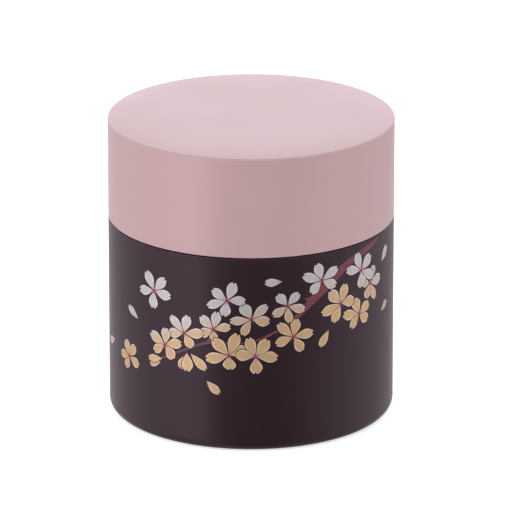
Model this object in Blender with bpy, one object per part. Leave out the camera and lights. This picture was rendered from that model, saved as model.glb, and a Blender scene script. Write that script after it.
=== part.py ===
"""Round two-tone tea caddy: a moulded body with a press-in liner, a tall outer lid and a stoppering inner lid.

Every piece is turned about +Z. The origin is the centre of the ring the caddy stands on.
"""

import math

import bmesh
import bpy

MM = 0.001

# Driving dimensions.
OUTER_RADIUS = 40.0 * MM
TOTAL_HEIGHT = 85.5 * MM
SHOULDER_HEIGHT = 56.4 * MM
NECK_TOP = 74.0 * MM
GAP = 0.3 * MM

SHELL_WALL = 2.2 * MM
SHELL_FLOOR = 2.4 * MM
FOOT_RECESS = 1.5 * MM
FOOT_RING_INNER = 34.3 * MM
FOOT_RING_SLOPE = 0.8 * MM
BASE_ROUNDING = 3.0 * MM
SHOULDER_ROUNDING = 0.5 * MM

LINER_WALL = 1.8 * MM
LINER_FLOOR = 1.8 * MM
LINER_OUTER_CORNER = 1.5 * MM
LINER_INNER_CORNER = 2.0 * MM
NECK_LEAD_IN = 0.8 * MM
NECK_INNER_ROUNDING = 0.5 * MM

LID_WALL = 2.1 * MM
LID_THICKNESS = 2.3 * MM
LID_CROWN = 0.6 * MM
LID_CROWN_POWER = 4
LID_EDGE_ROUNDING = 1.1 * MM
LID_RIM_ROUNDING = 0.5 * MM
LID_INNER_CORNER = 1.5 * MM

PLUG_CLEARANCE = 0.4 * MM
PLUG_WALL = 2.9 * MM
PLUG_DEPTH = 9.0 * MM
PLUG_LEAD_IN = 0.6 * MM
PLUG_RIM_SLOPE = 0.4 * MM
PANEL_EDGE = 0.2 * MM
FLANGE_OVERHANG = 1.6 * MM
FLANGE_THICKNESS = 1.6 * MM
FLANGE_ROUNDING = 0.6 * MM
DISH_DEPTH = 8.3 * MM
DISH_CORNER = 1.0 * MM
GROOVE_DEPTH = 1.5 * MM
GROOVE_WIDTH = 2.6 * MM
GROOVE_BELOW_FLANGE = 1.3 * MM
SEAL_HALF_DEPTH = 0.68 * MM
SEAL_HALF_HEIGHT = 1.0 * MM
SEAL_CLEARANCE = 0.27 * MM

BOSS_RADIUS = 5.5 * MM
BOSS_HEIGHT = 2.0 * MM
SOCKET_RADIUS = 2.6 * MM
SOCKET_DEPTH = 2.8 * MM
SOCKET_WEB = 1.0 * MM
KNOB_HEAD_RADIUS = 8.5 * MM
KNOB_FOOT_RADIUS = 5.2 * MM
KNOB_WAIST_RADIUS = 4.0 * MM
KNOB_HEIGHT = 6.4 * MM
KNOB_HEAD_THICKNESS = 2.4 * MM
KNOB_DIMPLE = 0.4 * MM

# Facets round the axis: enough to keep the largest wall within 0.05 mm of round.
FACETS = 64
KNOB_FACETS = 40
SEAL_SIDES = 8

# Heights and radii that follow from them.
LINER_RADIUS = OUTER_RADIUS - SHELL_WALL - GAP
BORE_RADIUS = LINER_RADIUS - LINER_WALL
SHELL_FLOOR_TOP = FOOT_RECESS + SHELL_FLOOR
LINER_BASE = SHELL_FLOOR_TOP + GAP
LID_RIM = SHOULDER_HEIGHT + GAP
FLANGE_BASE = NECK_TOP + GAP
FLANGE_TOP = FLANGE_BASE + FLANGE_THICKNESS
PLUG_RADIUS = BORE_RADIUS - PLUG_CLEARANCE
DISH_RADIUS = PLUG_RADIUS - PLUG_WALL
DISH_FLOOR = FLANGE_TOP - DISH_DEPTH
PLUG_BASE = NECK_TOP - PLUG_DEPTH
GROOVE_TOP = FLANGE_BASE - GROOVE_BELOW_FLANGE
GROOVE_RADIUS = PLUG_RADIUS - GROOVE_DEPTH
KNOB_BASE = DISH_FLOOR + BOSS_HEIGHT + GAP
SOCKET_FLOOR = DISH_FLOOR + BOSS_HEIGHT - SOCKET_DEPTH


def clear_scene():
    for item in list(bpy.data.objects):
        bpy.data.objects.remove(item)


def arc(centre, radius, start, end, steps):
    """Points from start to end, in degrees, where 0 points away from the axis and 90 points up."""
    angles = (math.radians(start + (end - start) * i / steps) for i in range(steps + 1))
    return [(centre[0] + radius * math.cos(a), centre[1] + radius * math.sin(a)) for a in angles]


def material(name, colour, roughness):
    made = bpy.data.materials.new(name)
    made.use_nodes = True
    surface = made.node_tree.nodes["Principled BSDF"]
    surface.inputs["Base Color"].default_value = (*colour, 1.0)
    surface.inputs["Roughness"].default_value = roughness
    surface.inputs["Metallic"].default_value = 0.0
    made.diffuse_color = (*colour, 1.0)
    return made


def turned(name, outline, finish, facets=FACETS, closed=False):
    """A solid turned from (radius, height) points, which run from axis to axis unless the outline is closed."""
    shape = bmesh.new()
    points = [shape.verts.new((radius, 0.0, height)) for radius, height in outline]
    pairs = list(zip(points, points[1:]))
    if closed:
        pairs.append((points[-1], points[0]))
    edges = [shape.edges.new(pair) for pair in pairs]
    bmesh.ops.spin(
        shape,
        geom=points + edges,
        cent=(0.0, 0.0, 0.0),
        axis=(0.0, 0.0, 1.0),
        angle=math.tau,
        steps=facets,
        use_merge=True,
    )
    bmesh.ops.remove_doubles(shape, verts=shape.verts, dist=0.001 * MM)
    bmesh.ops.recalc_face_normals(shape, faces=shape.faces)
    mesh = bpy.data.meshes.new(name)
    shape.to_mesh(mesh)
    shape.free()
    mesh.shade_smooth()
    mesh.set_sharp_from_angle(angle=math.radians(25))
    mesh.materials.append(finish)
    made = bpy.data.objects.new(name, mesh)
    bpy.context.scene.collection.objects.link(made)
    return made


def body_shell(finish):
    """The visible lower half: a straight wall, a rounded base and a shallow recess inside the foot ring."""
    base = OUTER_RADIUS - BASE_ROUNDING
    shoulder = SHOULDER_HEIGHT - SHOULDER_ROUNDING
    bore = OUTER_RADIUS - SHELL_WALL
    outline = [
        (0.0, FOOT_RECESS),
        (FOOT_RING_INNER - FOOT_RING_SLOPE, FOOT_RECESS),
        (FOOT_RING_INNER, 0.0),
    ]
    outline += arc((base, BASE_ROUNDING), BASE_ROUNDING, -90, 0, 6)
    outline += arc((OUTER_RADIUS - SHOULDER_ROUNDING, shoulder), SHOULDER_ROUNDING, 0, 90, 2)
    outline += [(bore, SHOULDER_HEIGHT)]
    corner = (bore - LINER_OUTER_CORNER, SHELL_FLOOR_TOP + LINER_OUTER_CORNER)
    outline += arc(corner, LINER_OUTER_CORNER, 0, -90, 3)
    outline += [(0.0, SHELL_FLOOR_TOP)]
    return turned("body_shell", outline, finish)


def inner_liner(finish):
    """The cup that holds the leaf. Its neck stands above the shoulder and guides the outer lid."""
    outer_corner = (LINER_RADIUS - LINER_OUTER_CORNER, LINER_BASE + LINER_OUTER_CORNER)
    inside_floor = LINER_BASE + LINER_FLOOR
    inner_corner = (BORE_RADIUS - LINER_INNER_CORNER, inside_floor + LINER_INNER_CORNER)
    outline = [(0.0, LINER_BASE)]
    outline += arc(outer_corner, LINER_OUTER_CORNER, -90, 0, 3)
    outline += arc((LINER_RADIUS - NECK_LEAD_IN, NECK_TOP - NECK_LEAD_IN), NECK_LEAD_IN, 0, 90, 3)
    inner_lip = (BORE_RADIUS + NECK_INNER_ROUNDING, NECK_TOP - NECK_INNER_ROUNDING)
    outline += arc(inner_lip, NECK_INNER_ROUNDING, 90, 180, 2)
    outline += arc(inner_corner, LINER_INNER_CORNER, 0, -90, 3)
    outline += [(0.0, inside_floor)]
    return turned("inner_liner", outline, finish)


def outer_lid(finish):
    """The cap: a gently crowned top, a straight skirt flush with the body, and a rim that rests on the shoulder."""
    crown_radius = OUTER_RADIUS - LID_EDGE_ROUNDING
    crown_steps = 6
    outline = []
    for i in range(crown_steps):
        share = i / crown_steps
        outline.append((crown_radius * share, TOTAL_HEIGHT - LID_CROWN * share**LID_CROWN_POWER))
    edge_height = TOTAL_HEIGHT - LID_CROWN - LID_EDGE_ROUNDING
    outline += arc((crown_radius, edge_height), LID_EDGE_ROUNDING, 90, 0, 4)
    rim = (OUTER_RADIUS - LID_RIM_ROUNDING, LID_RIM + LID_RIM_ROUNDING)
    outline += arc(rim, LID_RIM_ROUNDING, 0, -90, 2)
    bore = OUTER_RADIUS - LID_WALL
    outline += [(bore + LID_RIM_ROUNDING, LID_RIM), (bore, LID_RIM + LID_RIM_ROUNDING)]
    ceiling = TOTAL_HEIGHT - LID_CROWN - LID_THICKNESS
    corner = (bore - LID_INNER_CORNER, ceiling - LID_INNER_CORNER)
    outline += arc(corner, LID_INNER_CORNER, 0, 90, 3)
    outline += [(0.0, ceiling)]
    return turned("outer_lid", outline, finish)


def inner_lid(finish):
    """The stopper: a dished plug with a flange over the neck, a groove for the seal and a socket for the knob."""
    panel_base = SOCKET_FLOOR - SOCKET_WEB
    panel_radius = DISH_RADIUS + PANEL_EDGE
    outline = [
        (0.0, panel_base),
        (panel_radius, panel_base),
        (panel_radius + PLUG_RIM_SLOPE, PLUG_BASE),
        (PLUG_RADIUS - PLUG_LEAD_IN, PLUG_BASE),
        (PLUG_RADIUS, PLUG_BASE + PLUG_LEAD_IN),
        (PLUG_RADIUS, GROOVE_TOP - GROOVE_WIDTH),
        (GROOVE_RADIUS, GROOVE_TOP - GROOVE_WIDTH),
        (GROOVE_RADIUS, GROOVE_TOP),
        (PLUG_RADIUS, GROOVE_TOP),
        (PLUG_RADIUS, FLANGE_BASE),
    ]
    flange_radius = PLUG_RADIUS + FLANGE_OVERHANG
    outline += [(flange_radius, FLANGE_BASE)]
    edge = (flange_radius - FLANGE_ROUNDING, FLANGE_TOP - FLANGE_ROUNDING)
    outline += arc(edge, FLANGE_ROUNDING, 0, 90, 2)
    outline += arc((DISH_RADIUS + DISH_CORNER, FLANGE_TOP - DISH_CORNER), DISH_CORNER, 90, 180, 3)
    outline += arc((DISH_RADIUS - DISH_CORNER, DISH_FLOOR + DISH_CORNER), DISH_CORNER, 0, -90, 3)
    outline += [
        (BOSS_RADIUS, DISH_FLOOR),
        (BOSS_RADIUS, DISH_FLOOR + BOSS_HEIGHT),
        (SOCKET_RADIUS, DISH_FLOOR + BOSS_HEIGHT),
        (SOCKET_RADIUS, SOCKET_FLOOR),
        (0.0, SOCKET_FLOOR),
    ]
    return turned("inner_lid", outline, finish)


def inner_lid_knob(finish):
    """The pull of the inner lid: a waisted knob on a peg that is pressed into the lid's socket."""
    peg_radius = SOCKET_RADIUS - GAP
    head_top = KNOB_BASE + KNOB_HEIGHT
    head_base = head_top - KNOB_HEAD_THICKNESS
    waist_steps = 6
    outline = [
        (0.0, SOCKET_FLOOR + GAP),
        (peg_radius - GAP, SOCKET_FLOOR + GAP),
        (peg_radius, SOCKET_FLOOR + 2 * GAP),
        (peg_radius, KNOB_BASE),
    ]
    for i in range(waist_steps + 1):
        share = i / waist_steps
        straight = KNOB_FOOT_RADIUS + (KNOB_HEAD_RADIUS - KNOB_FOOT_RADIUS) * share**3
        pinch = (KNOB_FOOT_RADIUS - KNOB_WAIST_RADIUS) * math.sin(math.pi * share)
        outline.append((straight - pinch, KNOB_BASE + (head_base - KNOB_BASE) * share))
    half = KNOB_HEAD_THICKNESS / 2
    outline += arc((KNOB_HEAD_RADIUS - half, head_top - half), half, 0, 90, 3)
    outline += [(0.0, head_top - KNOB_DIMPLE)]
    return turned("inner_lid_knob", outline, finish, KNOB_FACETS)


def inner_lid_seal(finish):
    """The soft ring in the inner lid's groove, which bears on the liner's bore."""
    centre_radius = BORE_RADIUS - SEAL_CLEARANCE - SEAL_HALF_DEPTH
    centre_height = GROOVE_TOP - GROOVE_WIDTH / 2
    outline = [
        (centre_radius + SEAL_HALF_DEPTH * math.cos(a), centre_height + SEAL_HALF_HEIGHT * math.sin(a))
        for a in (math.tau * i / SEAL_SIDES for i in range(SEAL_SIDES))
    ]
    return turned("inner_lid_seal", outline, finish, closed=True)


def build():
    clear_scene()
    body_shell(material("dark_plum_lacquer", (0.022, 0.014, 0.018), 0.38))
    inner_liner(material("black_moulding", (0.012, 0.010, 0.011), 0.45))
    outer_lid(material("pink_lacquer", (0.62, 0.40, 0.42), 0.40))
    black_lid = material("black_lid_moulding", (0.014, 0.012, 0.013), 0.42)
    inner_lid(black_lid)
    inner_lid_knob(black_lid)
    inner_lid_seal(material("clear_silicone", (0.62, 0.61, 0.58), 0.55))


build()
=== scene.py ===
# Round resin tea caddy: plum lacquered body, blossom print, tall pink lid and a knobbed stopper.

import math

import bpy
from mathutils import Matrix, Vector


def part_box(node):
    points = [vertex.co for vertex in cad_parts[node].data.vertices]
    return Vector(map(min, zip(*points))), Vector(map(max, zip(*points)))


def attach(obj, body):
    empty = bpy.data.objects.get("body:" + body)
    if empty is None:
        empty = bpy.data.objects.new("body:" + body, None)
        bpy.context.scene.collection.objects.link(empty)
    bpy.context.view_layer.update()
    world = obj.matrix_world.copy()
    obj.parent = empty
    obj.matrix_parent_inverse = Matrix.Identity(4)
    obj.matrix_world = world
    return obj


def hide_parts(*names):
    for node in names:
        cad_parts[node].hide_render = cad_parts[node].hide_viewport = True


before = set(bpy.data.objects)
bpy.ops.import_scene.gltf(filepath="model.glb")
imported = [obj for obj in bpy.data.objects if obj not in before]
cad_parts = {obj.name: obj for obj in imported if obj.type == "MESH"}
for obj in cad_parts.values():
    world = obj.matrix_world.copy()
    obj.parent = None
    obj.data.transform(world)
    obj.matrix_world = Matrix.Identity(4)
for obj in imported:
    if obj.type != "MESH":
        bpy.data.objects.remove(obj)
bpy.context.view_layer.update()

mm = 0.001
shellLow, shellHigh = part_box("body_shell")
linerLow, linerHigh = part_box("inner_liner")
lidLow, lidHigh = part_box("outer_lid")
stopperLow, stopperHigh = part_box("inner_lid")
knobLow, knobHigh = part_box("inner_lid_knob")
sealLow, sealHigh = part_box("inner_lid_seal")
print("frame loaded:", len(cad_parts), "nodes")


def linear(hexColour):  # sRGB hex to the linear values that Blender's sockets take
    channels = [int(hexColour[i:i + 2], 16) / 255 for i in (1, 3, 5)]
    return [c / 12.92 if c <= 0.04045 else ((c + 0.055) / 1.055) ** 2.4 for c in channels] + [1.0]


# A socket is given by its name or number: a colour Mix has its share at 0 and its colours at 6 and 7.
def addNode(tree, kind, values=None, links=None, **options):
    node = tree.nodes.new(kind)
    for name, value in options.items():
        setattr(node, name, value)
    for name, value in (values or {}).items():
        node.inputs[name].default_value = value
    for name, socket in (links or {}).items():
        tree.links.new(socket, node.inputs[name])
    return node


def newMaterial(name):
    material = bpy.data.materials.new(name)
    material.use_nodes = True
    material.node_tree.nodes.clear()
    return material, material.node_tree


def chooseOnly(piece):
    bpy.ops.object.select_all(action="DESELECT")
    piece.select_set(True)
    bpy.context.view_layer.objects.active = piece


def applyAll(piece):
    chooseOnly(piece)
    for modifier in list(piece.modifiers):
        bpy.ops.object.modifier_apply(modifier=modifier.name)


def nameIt(piece, name):
    piece.name = name
    piece.data.name = name


def settle(piece):  # the object's place, turn and size go into its mesh
    chooseOnly(piece)
    bpy.ops.object.transform_apply(location=True, rotation=True, scale=True)


def joinPieces(pieces, name):
    bpy.ops.object.select_all(action="DESELECT")
    for piece in pieces:
        piece.select_set(True)
    joined = pieces[0]
    bpy.context.view_layer.objects.active = joined
    bpy.ops.object.join()
    nameIt(joined, name)
    settle(joined)
    return joined


def dress(piece, material, body, nodes=()):
    piece.data.materials.clear()
    piece.data.materials.append(material)
    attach(piece, body)
    if nodes:
        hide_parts(*nodes)


# Turned pieces are a half section drawn point by point and spun round the axis.
turning = {
    "steps": 256,
    "smallSteps": 128,
    "merge": 0.0005 * mm,
    "smoothAngle": 32,
}

arcSteps = {"tiny": 4, "small": 6, "middle": 8, "large": 10, "base": 14}


def smooth(piece):
    chooseOnly(piece)
    bpy.ops.object.shade_smooth_by_angle(angle=math.radians(turning["smoothAngle"]))


def arc(centre, radius, start, end, steps):  # 0 points away from the axis, 90 up
    angles = [math.radians(start + (end - start) * i / steps) for i in range(steps + 1)]
    return [(centre[0] + radius * math.cos(a), centre[1] + radius * math.sin(a)) for a in angles]


def turnPiece(name, outline, steps, softEdge):
    bpy.ops.object.select_all(action="DESELECT")
    bpy.ops.mesh.primitive_plane_add(size=mm, location=(0, 0, 0))
    piece = bpy.context.object
    nameIt(piece, name)
    bpy.ops.object.mode_set(mode="EDIT")
    bpy.ops.mesh.select_all(action="SELECT")
    bpy.ops.mesh.merge(type="CENTER")  # the section starts as a single point
    bpy.ops.transform.translate(value=(outline[0][0], 0, outline[0][1]))
    for here, there in zip(outline, outline[1:]):
        step = (there[0] - here[0], 0, there[1] - here[1])
        bpy.ops.mesh.extrude_region_move(TRANSFORM_OT_translate={"value": step})
    bpy.ops.mesh.select_all(action="SELECT")
    bpy.ops.mesh.spin(steps=steps, angle=math.tau, center=(0, 0, 0), axis=(0, 0, 1))
    bpy.ops.mesh.select_all(action="SELECT")
    bpy.ops.mesh.remove_doubles(threshold=turning["merge"])
    bpy.ops.mesh.normals_make_consistent(inside=False)
    bpy.ops.object.mode_set(mode="OBJECT")
    bevel = piece.modifiers.new("softEdge", "BEVEL")  # a mould never leaves a knife edge
    bevel.width = softEdge
    bevel.segments = 2
    bevel.limit_method = "ANGLE"
    bevel.angle_limit = math.radians(turning["smoothAngle"])
    applyAll(piece)
    smooth(piece)
    return piece


# The outer wall of the body: a low foot ring, a rounded base and an open top.
bodySizes = {
    "wall": 2.2 * mm,
    "floor": 2.4 * mm,
    "footRecess": 1.5 * mm,
    "footInner": 34.3 * mm,
    "footSlope": 0.8 * mm,
    "baseRounding": 3.0 * mm,
    "shoulderRounding": 0.2 * mm,
    "innerCorner": 1.5 * mm,
    "gateRadius": 2.2 * mm,    # the disc in the middle of the underside where the resin went in
    "gateDepth": 0.25 * mm,
    "softEdge": 0.12 * mm,
}


def makeBody():
    size = bodySizes
    radius = shellHigh.x
    bottom = shellLow.z
    top = shellHigh.z
    bore = radius - size["wall"]
    recess = bottom + size["footRecess"]
    outline = [
        (0, recess + size["gateDepth"]),
        (size["gateRadius"], recess + size["gateDepth"]),
        (size["gateRadius"], recess),
        (size["footInner"] - size["footSlope"], recess),
        (size["footInner"], bottom),
    ]
    base = (radius - size["baseRounding"], bottom + size["baseRounding"])
    outline += arc(base, size["baseRounding"], -90, 0, arcSteps["base"])
    shoulder = (radius - size["shoulderRounding"], top - size["shoulderRounding"])
    outline += arc(shoulder, size["shoulderRounding"], 0, 90, arcSteps["small"])
    outline += [(bore, top)]
    inside = recess + size["floor"]
    corner = (bore - size["innerCorner"], inside + size["innerCorner"])
    outline += arc(corner, size["innerCorner"], 0, -90, arcSteps["small"])
    outline += [(0, inside)]
    return turnPiece("lacquered_body", outline, turning["steps"], size["softEdge"])


# The leaf cup, whose neck carries the lid.
cupSizes = {
    "wall": 1.8 * mm,
    "floor": 1.8 * mm,
    "outerCorner": 1.5 * mm,
    "innerCorner": 2.0 * mm,
    "leadIn": 0.8 * mm,
    "innerRounding": 0.5 * mm,
    "softEdge": 0.1 * mm,
}


def makeCup():
    size = cupSizes
    radius = linerHigh.x
    bottom = linerLow.z
    top = linerHigh.z
    bore = radius - size["wall"]
    outline = [(0, bottom)]
    base = (radius - size["outerCorner"], bottom + size["outerCorner"])
    outline += arc(base, size["outerCorner"], -90, 0, arcSteps["small"])
    neck = (radius - size["leadIn"], top - size["leadIn"])
    outline += arc(neck, size["leadIn"], 0, 90, arcSteps["middle"])
    lip = (bore + size["innerRounding"], top - size["innerRounding"])
    outline += arc(lip, size["innerRounding"], 90, 180, arcSteps["small"])
    inside = bottom + size["floor"]
    corner = (bore - size["innerCorner"], inside + size["innerCorner"])
    outline += arc(corner, size["innerCorner"], 0, -90, arcSteps["middle"])
    outline += [(0, inside)]
    return turnPiece("leaf_cup", outline, turning["steps"], size["softEdge"])


# The outer lid, nearly flat on top.
lidSizes = {
    "wall": 2.1 * mm,
    "thickness": 2.3 * mm,
    "crown": 0.45 * mm,       # how far the top falls from its middle to its edge
    "crownPower": 7,
    "crownRings": 24,
    "edgeRounding": 0.5 * mm,
    "rimRounding": 0.2 * mm,
    "innerCorner": 1.5 * mm,
    "softEdge": 0.1 * mm,
}


def makeLid():
    size = lidSizes
    radius = lidHigh.x
    bottom = lidLow.z
    top = lidHigh.z
    flat = radius - size["edgeRounding"]
    rings = size["crownRings"]
    shares = [i / rings for i in range(rings)]
    outline = [(flat * share, top - size["crown"] * share ** size["crownPower"]) for share in shares]
    edgeHeight = top - size["crown"] - size["edgeRounding"]
    outline += arc((flat, edgeHeight), size["edgeRounding"], 90, 0, arcSteps["large"])
    rim = (radius - size["rimRounding"], bottom + size["rimRounding"])
    outline += arc(rim, size["rimRounding"], 0, -90, arcSteps["small"])
    bore = radius - size["wall"]
    innerRim = (bore + size["rimRounding"], rim[1])
    outline += arc(innerRim, size["rimRounding"], -90, -180, arcSteps["tiny"])
    ceiling = top - size["crown"] - size["thickness"]
    corner = (bore - size["innerCorner"], ceiling - size["innerCorner"])
    outline += arc(corner, size["innerCorner"], 0, 90, arcSteps["small"])
    outline += [(0, ceiling)]
    return turnPiece("lacquered_lid", outline, turning["steps"], size["softEdge"])


# The stopper is a dished plug with a turned knob and a soft seal in its groove.
stopperSizes = {
    "overhang": 1.6 * mm,
    "flange": 1.6 * mm,
    "flangeRounding": 0.6 * mm,
    "plugWall": 2.9 * mm,
    "leadIn": 0.6 * mm,
    "rimSlope": 0.4 * mm,
    "panelEdge": 0.2 * mm,
    "panelLift": 0.8 * mm,     # the panel's underside sits this far above the plug's rim
    "dishDepth": 8.3 * mm,
    "dishRounding": 1.0 * mm,
    "grooveBelowFlange": 1.3 * mm,
    "grooveWidth": 2.6 * mm,
    "grooveDepth": 1.5 * mm,
    "bossRadius": 5.5 * mm,
    "bossHeight": 2.0 * mm,
    "socketRadius": 2.6 * mm,
    "socketDepth": 2.8 * mm,
    "softEdge": 0.12 * mm,
}


def makeStopper():
    size = stopperSizes
    flangeRadius = stopperHigh.x
    bottom = stopperLow.z
    top = stopperHigh.z
    flangeBase = top - size["flange"]
    plug = flangeRadius - size["overhang"]
    dish = plug - size["plugWall"]
    panel = dish + size["panelEdge"]
    grooveTop = flangeBase - size["grooveBelowFlange"]
    grooveBottom = grooveTop - size["grooveWidth"]
    groove = plug - size["grooveDepth"]
    dishFloor = top - size["dishDepth"]
    bossTop = dishFloor + size["bossHeight"]
    outline = [
        (0, bottom + size["panelLift"]),
        (panel, bottom + size["panelLift"]),
        (panel + size["rimSlope"], bottom),
        (plug - size["leadIn"], bottom),
        (plug, bottom + size["leadIn"]),
        (plug, grooveBottom),
        (groove, grooveBottom),
        (groove, grooveTop),
        (plug, grooveTop),
        (plug, flangeBase),
        (flangeRadius, flangeBase),
    ]
    edge = (flangeRadius - size["flangeRounding"], top - size["flangeRounding"])
    outline += arc(edge, size["flangeRounding"], 0, 90, arcSteps["small"])
    turn = size["dishRounding"]
    outline += arc((dish + turn, top - turn), turn, 90, 180, arcSteps["middle"])
    outline += arc((dish - turn, dishFloor + turn), turn, 0, -90, arcSteps["middle"])
    outline += [
        (size["bossRadius"], dishFloor),
        (size["bossRadius"], bossTop),
        (size["socketRadius"], bossTop),
        (size["socketRadius"], bossTop - size["socketDepth"]),
        (0, bossTop - size["socketDepth"]),
    ]
    return turnPiece("stopper_dish", outline, turning["steps"], size["softEdge"])


knobSizes = {
    "pegRadius": 2.3 * mm,
    "pegLeadIn": 0.3 * mm,
    "pegLength": 2.8 * mm,
    "footRadius": 5.2 * mm,
    "waistPinch": 1.2 * mm,
    "waistSteps": 14,
    "flarePower": 3,
    "headThickness": 2.4 * mm,
    "dimple": 0.4 * mm,
    "dimpleRings": 6,
    "softEdge": 0.1 * mm,
}


def makeKnob():
    size = knobSizes
    head = knobHigh.x
    bottom = knobLow.z
    top = knobHigh.z
    seat = bottom + size["pegLength"]
    outline = [
        (0, bottom),
        (size["pegRadius"] - size["pegLeadIn"], bottom),
        (size["pegRadius"], bottom + size["pegLeadIn"]),
        (size["pegRadius"], seat),
    ]
    headBase = top - size["headThickness"]
    for i in range(size["waistSteps"] + 1):
        share = i / size["waistSteps"]
        straight = size["footRadius"] + (head - size["footRadius"]) * share ** size["flarePower"]
        pinch = size["waistPinch"] * math.sin(math.pi * share)
        outline.append((straight - pinch, seat + (headBase - seat) * share))
    half = size["headThickness"] / 2
    outline += arc((head - half, top - half), half, 0, 90, arcSteps["large"])[1:]
    for i in range(1, size["dimpleRings"] + 1):  # a shallow finger dimple
        share = i / size["dimpleRings"]
        depth = size["dimple"] * math.sin(math.pi / 2 * share) ** 2
        outline.append(((head - half) * (1 - share), top - depth))
    return turnPiece("stopper_knob", outline, turning["smallSteps"], size["softEdge"])


sealSizes = {"halfDepth": 0.68 * mm, "sides": 20, "softEdge": 0.02 * mm}


def makeSeal():
    size = sealSizes
    centre = (sealHigh.x - size["halfDepth"], (sealLow.z + sealHigh.z) / 2)
    halfHeight = (sealHigh.z - sealLow.z) / 2
    turns = [math.tau * i / size["sides"] for i in range(size["sides"] + 1)]
    outline = [
        (centre[0] + size["halfDepth"] * math.cos(a), centre[1] + halfHeight * math.sin(a)) for a in turns
    ]
    return turnPiece("stopper_seal", outline, turning["steps"], size["softEdge"])


# The blossom print is drawn flat, with x round the wall and y up it, and is then bent round the body.
# Places are millimetres round the wall from the front and up from the base.
# A petal is (turn in degrees, reach from the middle, breadth).
printSizes = {
    "inkLayer": 0.004 * mm,      # one pass of the screen
    "inkThickness": 0.003 * mm,
    "layerPasses": 7,            # from one layer of blossoms to the next
    "rayPass": 6,
    "heartPass": 6.5,
    "petalStart": 0.42,          # bare middle of a blossom; the sizes from here on are in millimetres
    "keyline": 0.26,             # dark line left round a petal that lies over another
    "lobe": 0.18,                # how far the two lobes reach past the notch
    "overlaps": (0, 1, 0, 1, 2), # which petals of a blossom lie over their neighbours
    "heartRadius": 0.46,
    "rayStart": 0.15,
    "rayLength": 2.1,
    "rayBreadth": 0.30,
}

blossoms = [
    {"at": (-29.3, 43.8), "layer": 0, "petals": (
        (-8, 5.7, 3.1), (49, 5.7, 3.0), (118, 5.7, 3.4), (191, 5.6, 2.9), (263, 5.0, 3.4))},
    {"at": (-6.6, 44.3), "layer": 1, "petals": (
        (3, 4.9, 2.8), (67, 5.5, 3.1), (146, 4.9, 2.9), (198, 5.8, 2.7), (262, 4.5, 3.1))},
    {"at": (0.1, 39.0), "layer": 0, "petals": (
        (-11, 4.9, 3.2), (45, 5.8, 2.6), (119, 4.8, 3.5), (188, 5.8, 2.6), (240, 5.1, 2.6))},
    {"at": (-10.5, 35.6), "layer": 0, "petals": (
        (16, 4.8, 2.7), (76, 5.2, 2.9), (138, 4.9, 3.0), (203, 4.1, 3.0), (275, 2.9, 2.4))},
    {"at": (-19.2, 33.4), "layer": 1, "petals": (
        (6, 5.7, 3.1), (79, 5.3, 3.0), (133, 6.0, 2.7), (189, 4.8, 3.0), (301, 4.4, 3.0))},
    {"at": (-25.4, 28.9), "layer": 2, "petals": (
        (17, 5.4, 3.1), (85, 4.8, 3.1), (156, 5.6, 3.3), (211, 4.6, 2.8), (311, 4.4, 3.5))},
    {"at": (-6.1, 28.3), "layer": 1, "petals": (
        (25, 5.1, 3.4), (72, 6.7, 3.4), (133, 6.2, 3.5), (194, 6.6, 3.4), (270, 3.9, 3.8))},
    {"at": (1.2, 28.2), "layer": 2, "petals": (
        (-2, 6.0, 3.4), (52, 5.8, 3.5), (113, 5.6, 3.2), (172, 5.2, 3.5), (275, 4.9, 3.6))},
    {"at": (10.1, 42.5), "layer": 0, "petals": (
        (-19, 5.1, 2.8), (49, 4.6, 2.7), (128, 4.3, 2.9), (215, 4.7, 2.7), (275, 4.8, 2.5))},
    {"at": (11.8, 33.3), "layer": 0, "petals": (
        (9, 5.7, 3.0), (78, 5.1, 3.0), (138, 5.9, 2.9), (197, 5.1, 3.0), (303, 4.9, 3.0))},
    {"at": (20.3, 48.6), "layer": 0, "petals": (
        (-28, 5.0, 3.0), (31, 5.7, 2.9), (105, 5.1, 3.1), (161, 6.0, 2.9), (221, 4.5, 3.0))},
    {"at": (26.6, 40.6), "layer": 1, "petals": (
        (4, 4.8, 3.4), (71, 5.6, 3.2), (133, 5.6, 3.5), (194, 6.4, 3.1), (244, 5.4, 3.1))},
    {"at": (33.7, 35.9), "layer": 0, "petals": (
        (-36, 4.4, 3.2), (31, 4.8, 3.2), (109, 5.1, 3.4), (171, 6.1, 3.2), (222, 4.5, 2.8))},
    {"at": (34.4, 48.5), "layer": 1, "petals": (
        (-27, 6.7, 3.0), (37, 5.4, 3.5), (111, 5.6, 3.0), (165, 5.8, 2.8), (277, 4.9, 3.8))},
    {"at": (38.6, 43.7), "layer": 0, "petals": (
        (0, 5.5, 3.4), (69, 4.9, 3.0), (168, 3.2, 2.4), (248, 4.3, 3.2), (296, 5.8, 2.6))},
    {"at": (-40.3, 21.6), "layer": 0, "petals": (
        (-18, 4.6, 3.0), (52, 4.7, 2.9), (115, 4.7, 3.2), (182, 4.8, 2.7), (243, 4.1, 2.8))},
]

# Single petals: (around, up) of the pointed end, turn, length, breadth, layer.
# The first seven drift down, the next three hang from a blossom seen from the side, the last two are a bud.
loosePetals = [
    ((-36.0, 33.9), 149, 5.3, 2.3, 0),
    ((8.5, 49.7), 184, 4.7, 2.4, 0),
    ((45.2, 48.1), 42, 5.2, 2.8, 0),
    ((-50.5, 23.4), 202, 5.9, 2.3, 0),
    ((-12.4, 20.3), 315, 4.9, 2.5, 0),
    ((22.5, 33.7), 240, 5.1, 2.5, 0),
    ((45.1, 33.6), 23, 4.4, 2.1, 0),
    ((-18.7, 27.0), 249, 4.4, 2.8, 0),
    ((-17.1, 27.7), 316, 6.1, 2.7, 0),
    ((-18.4, 27.7), 275, 5.3, 3.5, 1),
    ((-27.1, 23.4), 199, 4.1, 1.9, 0),
    ((-26.5, 24.6), 192, 5.1, 2.3, 1),
]

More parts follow.
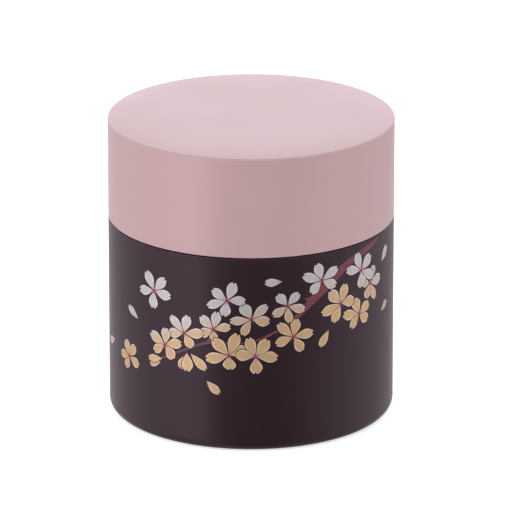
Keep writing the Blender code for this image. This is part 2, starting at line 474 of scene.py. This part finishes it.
# Branch runs: (around, up, breadth) along the middle of the stroke.
branchRuns = [
    [(42.8, 55.6, 0.8), (40, 54.8, 1.5), (36.5, 54.0, 1.9), (32, 52.8, 2.1), (28, 51.1, 2.4),
     (24.5, 48.8, 2.7), (21.5, 46.5, 2.7), (18.5, 44.2, 2.5), (16, 42.0, 2.0), (13.8, 39.9, 1.5),
     (11.5, 37.9, 1.1), (9.3, 36.3, 0.9), (6.5, 35.0, 0.6), (3, 33.4, 0.55), (-1, 32.2, 0.55),
     (-5, 31.8, 0.65), (-9, 32.0, 0.85), (-12, 31.7, 0.9), (-15, 30.5, 0.65), (-18, 29.1, 0.6),
     (-21, 27.6, 0.6), (-24, 26.1, 0.65), (-27, 24.5, 0.5)],
    [(18.3, 43.4, 1.9), (16.9, 43.7, 1.4), (15.2, 44.0, 0.5)],
    [(-12.6, 31.5, 0.7), (-11.8, 32.4, 0.7), (-11.3, 33.4, 0.5)],
]

# Height at which the metallic ink turns from gold below to silver above, by place round the wall.
toneLine = [
    (-56, 22), (-30, 31), (0, 40), (18, 43), (21.0, 44), (22.6, 46.0), (24.8, 45.2), (27, 48),
    (29, 48.5), (31.5, 45), (40, 42.5), (56, 39),
]
toneBlend = 4.2

petalShape = {
    "columns": 10,
    "rows": 12,
    "breadths": (0.04, 0.20, 0.37, 0.53, 0.67, 0.79, 0.89, 0.95, 0.96, 0.91, 0.81, 0.67, 0.50),
    "notchPlace": 0.2,     # of the half breadth, to one side of the middle
    "notchBreadth": 0.45,
    "notchDepth": 0.12,
    "tipPower": 5,
    "cornerStart": 0.55,
    "cornerDrop": 0.3,
    "lean": 0.06,
}

rowTolerance = 0.01  # of a master's length


def selectRow(piece, height):
    chooseOnly(piece)
    bpy.ops.object.mode_set(mode="EDIT")
    bpy.ops.mesh.select_mode(type="VERT")
    bpy.ops.mesh.select_all(action="DESELECT")
    bpy.ops.object.mode_set(mode="OBJECT")
    for vertex in piece.data.vertices:
        vertex.select = abs(vertex.co.y - height) < rowTolerance
    bpy.ops.object.mode_set(mode="EDIT")


def makePetal(name, side):
    # A flat petal of unit length and breadth, pointed at the origin, its notch to the side given.
    shape = petalShape
    bpy.ops.object.select_all(action="DESELECT")
    bpy.ops.mesh.primitive_grid_add(
        x_subdivisions=shape["columns"], y_subdivisions=shape["rows"], size=1, location=(0, 0.5, 0)
    )
    petal = bpy.context.object
    nameIt(petal, name)
    settle(petal)
    for vertex in petal.data.vertices:  # the tip, while the columns are still evenly spread
        across = 2 * vertex.co.x
        notch = max(0, 1 - abs(across - side * shape["notchPlace"]) / shape["notchBreadth"])
        corner = max(0, abs(across) - shape["cornerStart"]) ** 2
        drop = shape["notchDepth"] * notch + shape["cornerDrop"] * corner
        vertex.co.z = -drop * vertex.co.y ** shape["tipPower"]
    rows = shape["rows"]
    for row, breadth in enumerate(shape["breadths"]):
        height = row / rows
        selectRow(petal, height)
        bpy.ops.transform.resize(value=(breadth, 1, 1), center_override=(0, height, 0))
        bpy.ops.transform.translate(value=(side * shape["lean"] * height ** 2, 0, 0))
        bpy.ops.object.mode_set(mode="OBJECT")
    for vertex in petal.data.vertices:
        vertex.co.y += vertex.co.z
        vertex.co.z = 0
    return petal


rayShape = {"columns": 2, "rows": 6, "rootBreadth": 1.02, "taper": 0.7}


def makeRay():
    # A thin spike of unit length for the heart of a blossom, broadest at its root.
    shape = rayShape
    bpy.ops.object.select_all(action="DESELECT")
    bpy.ops.mesh.primitive_grid_add(
        x_subdivisions=shape["columns"], y_subdivisions=shape["rows"], size=1, location=(0, 0.5, 0)
    )
    ray = bpy.context.object
    nameIt(ray, "rayMaster")
    settle(ray)
    for row in range(shape["rows"] + 1):
        height = row / shape["rows"]
        breadth = shape["rootBreadth"] - height ** shape["taper"]
        selectRow(ray, height)
        bpy.ops.transform.resize(value=(breadth, 1, 1), center_override=(0, height, 0))
        bpy.ops.object.mode_set(mode="OBJECT")
    return ray


heartShape = {"corners": 15, "inset": 0.5}


def makeHeart():
    bpy.ops.object.select_all(action="DESELECT")
    bpy.ops.mesh.primitive_circle_add(
        vertices=heartShape["corners"], radius=1, fill_type="NGON", location=(0, 0, 0)
    )
    heart = bpy.context.object
    nameIt(heart, "heartMaster")
    bpy.ops.object.mode_set(mode="EDIT")
    bpy.ops.mesh.select_all(action="SELECT")
    bpy.ops.mesh.inset(thickness=heartShape["inset"])
    bpy.ops.mesh.poke()
    bpy.ops.object.mode_set(mode="OBJECT")
    return heart


def stamp(master, place, turn, length, breadth, lift):
    # A copy of a flat master with its own mesh, laid at a place on the unrolled wall, in mm.
    copy = master.copy()
    copy.data = master.data.copy()
    bpy.context.collection.objects.link(copy)
    copy.location = (place[0] * mm, place[1] * mm, lift)
    copy.rotation_euler.z = math.radians(turn - 90)
    copy.scale = (breadth * mm, length * mm, 1)
    return copy


def layerLift(layer, step):  # the branch is lowest, then the passes of each layer of blossoms
    return (1 + printSizes["layerPasses"] * layer + step) * printSizes["inkLayer"]


def toneHeight(around):
    for (x0, z0), (x1, z1) in zip(toneLine, toneLine[1:]):
        if around <= x1:
            return z0 + (z1 - z0) * (around - x0) / (x1 - x0)
    return toneLine[-1][1]


def markTone(piece):
    # silverShare runs from 0 in the gold to 1 in the silver of the blended ink.
    tone = piece.data.attributes.new("silverShare", "FLOAT", "POINT")
    for vertex, item in zip(piece.data.vertices, tone.data):
        above = (vertex.co.z / mm - toneHeight(vertex.co.x / mm)) / toneBlend
        share = min(1, max(0, 0.5 + 0.5 * above))
        item.value = share * share * (3 - 2 * share)


def bendRound(piece):
    # The flat print stands up to face the front, is bent round the axis and set out on the wall.
    radius = shellHigh.x
    piece.rotation_euler.x = math.pi / 2
    settle(piece)
    across = [vertex.co.x for vertex in piece.data.vertices]
    markTone(piece)
    bend = piece.modifiers.new("bend", "SIMPLE_DEFORM")
    bend.deform_method = "BEND"
    bend.deform_axis = "Z"
    bend.angle = (max(across) - min(across)) / radius
    applyAll(piece)
    piece.location.y = -radius
    settle(piece)
    smooth(piece)


def gatherPrint(name, stamps):
    # Joins flat stamps, gives the ink its thickness and bends it round the wall.
    piece = joinPieces(stamps, name)
    ink = piece.modifiers.new("ink", "SOLIDIFY")
    ink.thickness = printSizes["inkThickness"]
    ink.offset = 1
    applyAll(piece)
    bendRound(piece)
    return piece


def offsetPlace(place, turn, distance):
    angle = math.radians(turn)
    return (place[0] + distance * math.cos(angle), place[1] + distance * math.sin(angle))


def stampPetal(master, start, turn, length, breadth, layer, step):
    # A petal, and below it the broader shape that leaves a dark line round it.
    petal = stamp(master, start, turn, length, breadth, layerLift(layer, step + 1))
    key = printSizes["keyline"]
    back = offsetPlace(start, turn, -key)
    keyline = stamp(master, back, turn, length + 2 * key, breadth + 2 * key, layerLift(layer, step))
    return petal, keyline


def makeBlossomPrint():
    size = printSizes
    masters = [makePetal("petalLeft", -1), makePetal("petalRight", 1)]
    ray = makeRay()
    heart = makeHeart()
    pairs = []
    hearts = []
    for count, blossom in enumerate(blossoms):
        middle = blossom["at"]
        layer = blossom["layer"]
        turns = [petal[0] for petal in blossom["petals"]]
        for index, (turn, reach, breadth) in enumerate(blossom["petals"]):
            master = masters[(index + count) % 2]
            start = offsetPlace(middle, turn, size["petalStart"])
            length = reach + size["lobe"] - size["petalStart"]
            step = 2 * size["overlaps"][index]
            pairs.append(stampPetal(master, start, turn, length, breadth, layer, step))
            following = turns[(index + 1) % len(turns)]
            gap = turn + ((following - turn) % 360) / 2
            root = offsetPlace(middle, gap, size["rayStart"])
            lift = layerLift(layer, size["rayPass"])
            hearts.append(stamp(ray, root, gap, size["rayLength"], size["rayBreadth"], lift))
        radius = size["heartRadius"]
        lift = layerLift(layer, size["heartPass"])
        hearts.append(stamp(heart, middle, turns[0], radius, radius, lift))
    for index, (start, turn, length, breadth, layer) in enumerate(loosePetals):
        pairs.append(stampPetal(masters[index % 2], start, turn, length, breadth, layer, 0))
    for master in masters + [ray, heart]:
        bpy.data.objects.remove(master)
    return (
        gatherPrint("blossom_petals", [petal for petal, keyline in pairs]),
        gatherPrint("blossom_keylines", [keyline for petal, keyline in pairs]),
        gatherPrint("blossom_hearts", hearts),
    )


branchSizes = {"flatness": 0.004, "resolution": 8, "bevelResolution": 4}


def makeBranch():
    strokes = []
    for run in branchRuns:
        bpy.ops.object.select_all(action="DESELECT")
        bpy.ops.curve.primitive_bezier_curve_add(location=(0, 0, 0))
        stroke = bpy.context.object
        curve = stroke.data
        curve.resolution_u = branchSizes["resolution"]
        curve.bevel_depth = mm / 2
        curve.bevel_resolution = branchSizes["bevelResolution"]
        curve.use_fill_caps = True
        points = curve.splines[0].bezier_points
        points.add(len(run) - len(points))
        for point, (around, up, breadth) in zip(points, run):
            point.co = (around * mm, up * mm, 0)
            point.radius = breadth
            point.handle_left_type = "AUTO"
            point.handle_right_type = "AUTO"
        bpy.ops.object.convert(target="MESH")
        stroke = bpy.context.object
        stroke.scale.z = branchSizes["flatness"]  # a round stroke pressed flat
        settle(stroke)
        strokes.append(stroke)
    branch = joinPieces(strokes, "blossom_branch")
    branch.location.z = printSizes["inkLayer"] / 2
    settle(branch)
    bendRound(branch)
    return branch


# The finishes.
noiseSpread = (0.3, 0.7)  # nearly all of a noise texture lies between these

pinkLacquerLook = {
    "colour": "#A78889",
    "deeper": "#A38587",
    "roughness": (0.32, 0.36),
    "specular": 0.65,
    "specularTint": "#FFFFFF",
}

plumLacquerLook = {
    "colour": "#231519",
    "deeper": "#211418",
    "roughness": (0.31, 0.35),
    "specular": 0.28,
    "specularTint": "#FFF1FF",
}

lacquerScales = {
    "mottle": 14 * mm,      # drift in film thickness between spray passes
    "peel": 0.9 * mm,       # orange peel of a sprayed film
    "matting": 0.3 * mm,    # silica matting grains are near 0.01 mm, drawn coarser so that they show
    "mattingShare": 0.3,    # how deep the grains are beside the orange peel
    "haze": 22 * mm,
    "peelDepth": 0.012 * mm,
    "ior": 1.5,
}


def sprayedLacquer(name, look):
    # Tinted urethane sprayed on moulded ABS and matted: soft broad gloss, fine orange peel, even colour.
    scales = lacquerScales
    material, tree = newMaterial(name)
    onPiece = {"Vector": addNode(tree, "ShaderNodeTexCoord").outputs["Object"]}
    mottle = addNode(tree, "ShaderNodeTexNoise", {"Scale": 1 / scales["mottle"], "Detail": 3.0}, onPiece)
    colour = addNode(
        tree, "ShaderNodeMix", {6: linear(look["colour"]), 7: linear(look["deeper"])},
        {0: mottle.outputs["Fac"]}, data_type="RGBA",
    )
    haze = addNode(tree, "ShaderNodeTexNoise", {"Scale": 1 / scales["haze"], "Detail": 2.0}, onPiece)
    low, high = look["roughness"]
    roughness = addNode(
        tree, "ShaderNodeMapRange",
        {"From Min": noiseSpread[0], "From Max": noiseSpread[1], "To Min": low, "To Max": high},
        {"Value": haze.outputs["Fac"]},
    )
    peel = addNode(tree, "ShaderNodeTexNoise", {"Scale": 1 / scales["peel"], "Detail": 1.0}, onPiece)
    grain = addNode(tree, "ShaderNodeTexNoise", {"Scale": 1 / scales["matting"], "Detail": 1.0}, onPiece)
    height = addNode(
        tree, "ShaderNodeMath", {1: scales["mattingShare"]},
        {0: grain.outputs["Fac"], 2: peel.outputs["Fac"]}, operation="MULTIPLY_ADD",
    )
    bump = addNode(
        tree, "ShaderNodeBump", {"Strength": 1.0, "Distance": scales["peelDepth"]},
        {"Height": height.outputs[0]},
    )
    surface = addNode(
        tree, "ShaderNodeBsdfPrincipled",
        {
            "IOR": scales["ior"], "Metallic": 0.0, "Specular IOR Level": look["specular"],
            "Specular Tint": linear(look["specularTint"]),
        },
        {"Base Color": colour.outputs[2], "Roughness": roughness.outputs[0], "Normal": bump.outputs[0]},
    )
    addNode(tree, "ShaderNodeOutputMaterial", links={"Surface": surface.outputs[0]})
    return material


flakeInkLook = {
    "silver": "#ABA8AA",
    "gold": "#B5996A",
    "rose": "#B38E73",       # where the gold lies thin
    "roseShare": 0.5,
    "patch": 2.4 * mm,       # breadth of a thin patch
    "patchSpread": (0.4, 0.65),
    "blush": "#B98580",
    "blushLength": 0.30,     # of the petal, from its pointed end
    "blushShare": 0.55,
    "rimColour": "#D6CBC4",
    "rimShare": 0.52,
    "flake": 0.20 * mm,      # mica flakes are near 0.05 mm, drawn coarser so that they sparkle
    "flakeSpread": 0.14,
    "flakeDepth": 0.01 * mm,
    "veins": 7,
    "veinDepth": 0.09,
    "rimSide": 0.15,         # of the petal's breadth
    "rimEnd": 0.075,         # of its length
    "metallic": 0.5,
    "roughness": (0.36, 0.54),
    "ior": 1.5,
}


def metallicFlakeInk():
    # Screen printed ink of mica flakes, silver blended into gold: a bright grainy lustre.
    look = flakeInkLook
    material, tree = newMaterial("screen_printed_mica_ink")
    places = addNode(tree, "ShaderNodeTexCoord")
    onPiece = {"Vector": places.outputs["Object"]}
    tone = addNode(tree, "ShaderNodeAttribute", attribute_name="silverShare", attribute_type="GEOMETRY")
    patch = addNode(tree, "ShaderNodeTexNoise", {"Scale": 1 / look["patch"], "Detail": 1.0}, onPiece)
    patchLow, patchHigh = look["patchSpread"]
    thin = addNode(
        tree, "ShaderNodeMapRange",
        {"From Min": patchLow, "From Max": patchHigh, "To Min": 0.0, "To Max": look["roseShare"]},
        {"Value": patch.outputs["Fac"]},
    )
    gold = addNode(
        tree, "ShaderNodeMix", {6: linear(look["gold"]), 7: linear(look["rose"])},
        {0: thin.outputs[0]}, data_type="RGBA",
    )
    metal = addNode(
        tree, "ShaderNodeMix", {7: linear(look["silver"])},
        {0: tone.outputs["Fac"], 6: gold.outputs[2]}, data_type="RGBA",
    )
    petal = addNode(tree, "ShaderNodeSeparateXYZ", links={"Vector": places.outputs["UV"]})
    blushShare = addNode(
        tree, "ShaderNodeMapRange",
        {"From Min": 0.0, "From Max": look["blushLength"], "To Min": look["blushShare"], "To Max": 0.0},
        {"Value": petal.outputs["Y"]}, interpolation_type="SMOOTHSTEP",
    )
    blushed = addNode(
        tree, "ShaderNodeMix", {7: linear(look["blush"])},
        {0: blushShare.outputs[0], 6: metal.outputs[2]}, data_type="RGBA",
    )
    fromMiddle = addNode(tree, "ShaderNodeMath", {1: 0.5}, {0: petal.outputs["X"]}, operation="SUBTRACT")
    sideways = addNode(tree, "ShaderNodeMath", links={0: fromMiddle.outputs[0]}, operation="ABSOLUTE")
    rimSide = addNode(
        tree, "ShaderNodeMapRange",
        {"From Min": 0.5 - look["rimSide"], "From Max": 0.5 - look["rimSide"] / 2},
        {"Value": sideways.outputs[0]}, interpolation_type="SMOOTHSTEP",
    )
    rimEnd = addNode(
        tree, "ShaderNodeMapRange",
        {"From Min": 1 - look["rimEnd"], "From Max": 1 - look["rimEnd"] / 2},
        {"Value": petal.outputs["Y"]}, interpolation_type="SMOOTHSTEP",
    )
    rim = addNode(
        tree, "ShaderNodeMath", links={0: rimSide.outputs[0], 1: rimEnd.outputs[0]}, operation="MAXIMUM",
    )
    rimShare = addNode(
        tree, "ShaderNodeMath", {1: look["rimShare"]}, {0: rim.outputs[0]}, operation="MULTIPLY",
    )
    rimmed = addNode(
        tree, "ShaderNodeMix", {7: linear(look["rimColour"])},
        {0: rimShare.outputs[0], 6: blushed.outputs[2]}, data_type="RGBA",
    )
    flakes = addNode(
        tree, "ShaderNodeTexVoronoi", {"Scale": 1 / look["flake"], "Randomness": 1.0}, onPiece,
    )
    flake = addNode(tree, "ShaderNodeSeparateXYZ", links={"Vector": flakes.outputs["Color"]})
    flakeLight = addNode(
        tree, "ShaderNodeMapRange",
        {"To Min": 1 - look["flakeSpread"], "To Max": 1 + look["flakeSpread"]},
        {"Value": flake.outputs["X"]},
    )
    vein = addNode(
        tree, "ShaderNodeMath", {1: look["veins"] * math.tau}, {0: petal.outputs["X"]},
        operation="MULTIPLY",
    )
    veinWave = addNode(tree, "ShaderNodeMath", links={0: vein.outputs[0]}, operation="COSINE")
    veined = addNode(
        tree, "ShaderNodeMath", {1: look["veinDepth"]},
        {0: veinWave.outputs[0], 2: flakeLight.outputs[0]}, operation="MULTIPLY_ADD",
    )
    shaded = addNode(
        tree, "ShaderNodeVectorMath", links={0: rimmed.outputs[2], 1: veined.outputs[0]},
        operation="MULTIPLY",
    )
    low, high = look["roughness"]
    roughness = addNode(
        tree, "ShaderNodeMapRange", {"To Min": low, "To Max": high}, {"Value": flake.outputs["Y"]},
    )
    bump = addNode(
        tree, "ShaderNodeBump", {"Strength": 1.0, "Distance": look["flakeDepth"]},
        {"Height": flake.outputs["Z"]},
    )
    surface = addNode(
        tree, "ShaderNodeBsdfPrincipled", {"Metallic": look["metallic"], "IOR": look["ior"]},
        {"Base Color": shaded.outputs[0], "Roughness": roughness.outputs[0], "Normal": bump.outputs[0]},
    )
    addNode(tree, "ShaderNodeOutputMaterial", links={"Surface": surface.outputs[0]})
    return material


# The colour turns from near to far between two places across the body, from left (-) to right (+).
flatInkLooks = {
    "heart": {
        "near": "#702F3C", "far": "#6C3040", "from": -10 * mm, "to": 10 * mm,
        "grain": 0.7 * mm, "stretch": 1.0, "turn": 0.0, "depth": (0.86, 1.10),
    },
    "branch": {
        "near": "#5F2E38", "far": "#58354B", "from": 12 * mm, "to": -12 * mm,
        "grain": 0.5 * mm, "stretch": 6.0, "turn": math.radians(-33), "depth": (0.74, 1.24),
    },
}

pigmentInk = {"roughness": 0.5, "ior": 1.5, "specular": 0.3}


def flatInk(name, look):
    # Opaque pigment ink: even, nearly matt, with the faint mottle of a screen print.
    material, tree = newMaterial(name)
    place = addNode(tree, "ShaderNodeTexCoord").outputs["Object"]
    across = addNode(tree, "ShaderNodeSeparateXYZ", links={"Vector": place})
    share = addNode(
        tree, "ShaderNodeMapRange", {"From Min": look["from"], "From Max": look["to"]},
        {"Value": across.outputs["X"]}, interpolation_type="SMOOTHSTEP",
    )
    colour = addNode(
        tree, "ShaderNodeMix", {6: linear(look["near"]), 7: linear(look["far"])},
        {0: share.outputs[0]}, data_type="RGBA",
    )
    along = addNode(  # the grain runs the way the branch grows
        tree, "ShaderNodeMapping", {"Rotation": (0, look["turn"], 0), "Scale": (look["stretch"], 1, 1)},
        {"Vector": place}, vector_type="TEXTURE",
    )
    mottle = addNode(
        tree, "ShaderNodeTexNoise", {"Scale": 1 / look["grain"], "Detail": 3.0},
        {"Vector": along.outputs[0]},
    )
    low, high = look["depth"]
    light = addNode(
        tree, "ShaderNodeMapRange",
        {"From Min": noiseSpread[0], "From Max": noiseSpread[1], "To Min": low, "To Max": high},
        {"Value": mottle.outputs["Fac"]},
    )
    shaded = addNode(
        tree, "ShaderNodeVectorMath", links={0: colour.outputs[2], 1: light.outputs[0]},
        operation="MULTIPLY",
    )
    surface = addNode(
        tree, "ShaderNodeBsdfPrincipled",
        {
            "Roughness": pigmentInk["roughness"], "IOR": pigmentInk["ior"],
            "Specular IOR Level": pigmentInk["specular"],
        },
        {"Base Color": shaded.outputs[0]},
    )
    addNode(tree, "ShaderNodeOutputMaterial", links={"Surface": surface.outputs[0]})
    return material


mouldedAbs = {
    "flow": 9 * mm,           # drift of the colour where the melt flowed
    "flowDepth": 0.88,
    "roughnessSpread": 0.06,
    "pitDepth": 0.02 * mm,
    "ior": 1.53,
}

mouldedAbsLooks = {
    "cup": {"colour": "#1D1A1B", "grain": 0.25 * mm, "roughness": 0.45},
    "stopper": {"colour": "#211D1F", "grain": 0.18 * mm, "roughness": 0.38},
}


def sparkedPlastic(name, look):
    # Black ABS from a spark-eroded mould: a fine even grain that breaks up the gloss.
    material, tree = newMaterial(name)
    onPiece = {"Vector": addNode(tree, "ShaderNodeTexCoord").outputs["Object"]}
    flow = addNode(tree, "ShaderNodeTexNoise", {"Scale": 1 / mouldedAbs["flow"], "Detail": 3.0}, onPiece)
    colour = linear(look["colour"])
    deeper = [channel * mouldedAbs["flowDepth"] for channel in colour[:3]] + [1.0]
    tint = addNode(
        tree, "ShaderNodeMix", {6: colour, 7: deeper}, {0: flow.outputs["Fac"]}, data_type="RGBA",
    )
    pits = addNode(tree, "ShaderNodeTexNoise", {"Scale": 1 / look["grain"], "Detail": 2.0}, onPiece)
    spread = mouldedAbs["roughnessSpread"]
    roughness = addNode(
        tree, "ShaderNodeMapRange",
        {"To Min": look["roughness"] - spread, "To Max": look["roughness"] + spread},
        {"Value": pits.outputs["Fac"]},
    )
    bump = addNode(
        tree, "ShaderNodeBump", {"Strength": 1.0, "Distance": mouldedAbs["pitDepth"]},
        {"Height": pits.outputs["Fac"]},
    )
    surface = addNode(
        tree, "ShaderNodeBsdfPrincipled", {"IOR": mouldedAbs["ior"]},
        {"Base Color": tint.outputs[2], "Roughness": roughness.outputs[0], "Normal": bump.outputs[0]},
    )
    addNode(tree, "ShaderNodeOutputMaterial", links={"Surface": surface.outputs[0]})
    return material


siliconeLook = {
    "colour": "#D8D6D0",
    "cloudy": "#C9C6BE",
    "cloud": 2.5 * mm,
    "bumpStrength": 0.5,
    "bumpDepth": 0.02 * mm,
    "ior": 1.41,
    "roughness": 0.42,
    "sinkShare": 0.3,
    "sinkDepth": 1 * mm,
}


def cloudySilicone():
    # Moulded silicone: milky, with light that sinks a little way in, and a soft sheen.
    look = siliconeLook
    material, tree = newMaterial("moulded_silicone")
    onPiece = {"Vector": addNode(tree, "ShaderNodeTexCoord").outputs["Object"]}
    cloud = addNode(tree, "ShaderNodeTexNoise", {"Scale": 1 / look["cloud"], "Detail": 3.0}, onPiece)
    tint = addNode(
        tree, "ShaderNodeMix", {6: linear(look["colour"]), 7: linear(look["cloudy"])},
        {0: cloud.outputs["Fac"]}, data_type="RGBA",
    )
    bump = addNode(
        tree, "ShaderNodeBump", {"Strength": look["bumpStrength"], "Distance": look["bumpDepth"]},
        {"Height": cloud.outputs["Fac"]},
    )
    surface = addNode(
        tree, "ShaderNodeBsdfPrincipled",
        {
            "IOR": look["ior"], "Roughness": look["roughness"],
            "Subsurface Weight": look["sinkShare"], "Subsurface Scale": look["sinkDepth"],
        },
        {"Base Color": tint.outputs[2], "Normal": bump.outputs[0]},
    )
    addNode(tree, "ShaderNodeOutputMaterial", links={"Surface": surface.outputs[0]})
    return material


pinkLacquer = sprayedLacquer("sprayed_pink_urethane_lacquer", pinkLacquerLook)
plumLacquer = sprayedLacquer("sprayed_plum_urethane_lacquer", plumLacquerLook)
micaInk = metallicFlakeInk()
heartInk = flatInk("screen_printed_crimson_ink", flatInkLooks["heart"])
branchInk = flatInk("screen_printed_maroon_ink", flatInkLooks["branch"])
cupPlastic = sparkedPlastic("spark_grained_black_abs", mouldedAbsLooks["cup"])
stopperPlastic = sparkedPlastic("satin_black_abs", mouldedAbsLooks["stopper"])
silicone = cloudySilicone()
print("finishes ready")

dress(makeBody(), plumLacquer, "canister", ["body_shell"])
dress(makeCup(), cupPlastic, "canister", ["inner_liner"])
dress(makeLid(), pinkLacquer, "cap", ["outer_lid"])
dress(makeStopper(), stopperPlastic, "stopper", ["inner_lid"])
dress(makeKnob(), stopperPlastic, "stopper", ["inner_lid_knob"])
dress(makeSeal(), silicone, "stopper", ["inner_lid_seal"])
print("turned pieces ready")

petals, keylines, hearts = makeBlossomPrint()
dress(petals, micaInk, "canister")
dress(keylines, plumLacquer, "canister")
dress(hearts, heartInk, "canister")
dress(makeBranch(), branchInk, "canister")
print("print ready")


# The stage is a lit table in a white tent, with one softbox and the camera.
stageLook = {
    "floorSize": 12.0,
    "floorColour": "#F6F6F6",
    "floorCloud": "#F4F4F4",
    "cloud": 1.5 * mm,       # breadth of the faint clouds in the sheet
    "floorRoughness": 0.9,
    "floorGlow": 0.56,   # the table is lit from below as well, which thins the shadow
    "fill": 1.0,         # even light of the white tent
    "tint": "#FFF6FE",   # what the gloss mirrors of it is a little cooler
    "backdrop": 2.40,    # what a level surface mirrors: the sheet behind, then the roof
    "backdropRise": (-0.02, 0.14),
    "roof": 1.80,
    "roofRise": (0.26, 0.50),
    "under": 0.50,       # and what an underside mirrors of the table, in the shadow
    "underRise": (-0.78, -0.45),
}

# What the upright walls mirror round the tent: (azimuth in degrees, brightness), 0 at the front.
# The gap for the lens is dark, and the left panel stands nearest.
tentRing = [
    (-180, 1.12), (-155, 0.85), (-135, 0.80), (-110, 1.00), (-80, 1.15), (-55, 1.80), (-40, 2.00),
    (-29, 0.35), (-10, 0.14), (15, 0.10), (38, 0.25), (62, 0.84), (85, 1.02), (115, 0.95), (145, 0.68),
    (163, 0.82), (180, 1.12),
]

softbox = {"at": (-0.9, -0.6, 0.55), "size": (0.9, 0.9), "power": 2.5}  # metres and watts

cameraLook = {
    "lens": 400.8,
    "sensor": 36,
    "distance": 1.6,
    "elevation": 18.86,
    "aim": (1.35 * mm, 0, 43.75 * mm),
    "clip": (0.05, 40),
}


def turnTo(thing, direction):
    flat = math.hypot(direction[0], direction[1])
    thing.rotation_euler = (
        math.atan2(flat, -direction[2]),
        0,
        math.atan2(direction[1], direction[0]) - math.pi / 2,
    )


def makeFloor():
    look = stageLook
    bpy.ops.object.select_all(action="DESELECT")
    bpy.ops.mesh.primitive_plane_add(size=look["floorSize"], location=(0, 0, shellLow.z))
    floor = bpy.context.object
    floor.name = "floor"
    material, tree = newMaterial("cast_opal_acrylic")  # a milky sheet with a matt face
    onPiece = {"Vector": addNode(tree, "ShaderNodeTexCoord").outputs["Object"]}
    cloud = addNode(tree, "ShaderNodeTexNoise", {"Scale": 1 / look["cloud"], "Detail": 3.0}, onPiece)
    tint = addNode(
        tree, "ShaderNodeMix", {6: linear(look["floorColour"]), 7: linear(look["floorCloud"])},
        {0: cloud.outputs["Fac"]}, data_type="RGBA",
    )
    surface = addNode(
        tree, "ShaderNodeBsdfPrincipled",
        {
            "Roughness": look["floorRoughness"], "Specular IOR Level": 0.0,
            "Emission Strength": look["floorGlow"],
        },
        {"Base Color": tint.outputs[2]},
    )
    addNode(tree, "ShaderNodeOutputMaterial", links={"Surface": surface.outputs[0]})
    floor.data.materials.append(material)
    floor.visible_glossy = False  # gloss mirrors the tent alone


def makeWorld():
    # A white tent that lights evenly; what glossy surfaces mirror of it varies round the object.
    look = stageLook
    world = bpy.data.worlds.new("studio")
    world.use_nodes = True
    world.cycles.sampling_method = "NONE"
    tree = world.node_tree
    background = tree.nodes["Background"]
    direction = addNode(tree, "ShaderNodeTexCoord").outputs["Generated"]
    parts = addNode(tree, "ShaderNodeSeparateXYZ", links={"Vector": direction})
    forward = addNode(tree, "ShaderNodeMath", {1: -1.0}, {0: parts.outputs["Y"]}, operation="MULTIPLY")
    azimuth = addNode(
        tree, "ShaderNodeMath", links={0: parts.outputs["X"], 1: forward.outputs[0]}, operation="ARCTAN2",
    )
    turn = addNode(
        tree, "ShaderNodeMapRange", {"From Min": -math.pi, "From Max": math.pi},
        {"Value": azimuth.outputs[0]},
    )
    ring = addNode(tree, "ShaderNodeValToRGB", links={"Fac": turn.outputs[0]})
    stops = ring.color_ramp.elements
    while len(stops) < len(tentRing):
        stops.new(1.0)
    for stop, (degrees, level) in zip(stops, tentRing):
        stop.position = (degrees + 180) / 360
        stop.color = (level, level, level, 1)
    rise = parts.outputs["Z"]
    under = addNode(
        tree, "ShaderNodeMapRange",
        {"From Min": look["underRise"][0], "From Max": look["underRise"][1], "To Min": look["under"]},
        {"Value": rise}, interpolation_type="SMOOTHSTEP",
    )
    sides = addNode(
        tree, "ShaderNodeMath", links={0: ring.outputs["Color"], 1: under.outputs[0]},
        operation="MULTIPLY",
    )
    above = addNode(
        tree, "ShaderNodeMapRange",
        {
            "From Min": look["roofRise"][0], "From Max": look["roofRise"][1],
            "To Min": look["backdrop"], "To Max": look["roof"],
        },
        {"Value": rise}, interpolation_type="SMOOTHSTEP",
    )
    height = addNode(
        tree, "ShaderNodeMapRange",
        {"From Min": look["backdropRise"][0], "From Max": look["backdropRise"][1]},
        {"Value": rise}, interpolation_type="SMOOTHSTEP",
    )
    mirrored = addNode(
        tree, "ShaderNodeMix", links={0: height.outputs[0], 2: sides.outputs[0], 3: above.outputs[0]},
    )
    path = addNode(tree, "ShaderNodeLightPath")
    level = addNode(
        tree, "ShaderNodeMix", {2: look["fill"]},
        {0: path.outputs["Is Glossy Ray"], 3: mirrored.outputs[0]},
    )
    tree.links.new(level.outputs[0], background.inputs["Strength"])
    tint = addNode(
        tree, "ShaderNodeMix", {6: linear("#FFFFFF"), 7: linear(look["tint"])},
        {0: path.outputs["Is Glossy Ray"]}, data_type="RGBA",
    )
    tree.links.new(tint.outputs[2], background.inputs["Color"])
    bpy.context.scene.world = world


def makeSoftbox():
    bpy.ops.object.light_add(type="AREA", location=softbox["at"])
    lamp = bpy.context.object
    lamp.name = "softbox_left"
    lamp.data.shape = "RECTANGLE"
    lamp.data.size = softbox["size"][0]
    lamp.data.size_y = softbox["size"][1]
    lamp.data.energy = softbox["power"]
    lamp.visible_camera = False
    turnTo(lamp, [there - here for there, here in zip(cameraLook["aim"], softbox["at"])])


def makeCamera():
    look = cameraLook
    rise = math.radians(look["elevation"])
    x, y, z = look["aim"]
    place = (x, y - look["distance"] * math.cos(rise), z + look["distance"] * math.sin(rise))
    bpy.ops.object.camera_add(location=place)
    camera = bpy.context.object
    camera.name = "camera"
    camera.data.lens = look["lens"]
    camera.data.sensor_width = look["sensor"]
    camera.data.clip_start = look["clip"][0]
    camera.data.clip_end = look["clip"][1]
    turnTo(camera, (x - place[0], y - place[1], z - place[2]))
    bpy.context.scene.camera = camera


makeFloor()
makeWorld()
makeSoftbox()
makeCamera()
bpy.context.scene.view_settings.view_transform = "Standard"
print("stage ready")
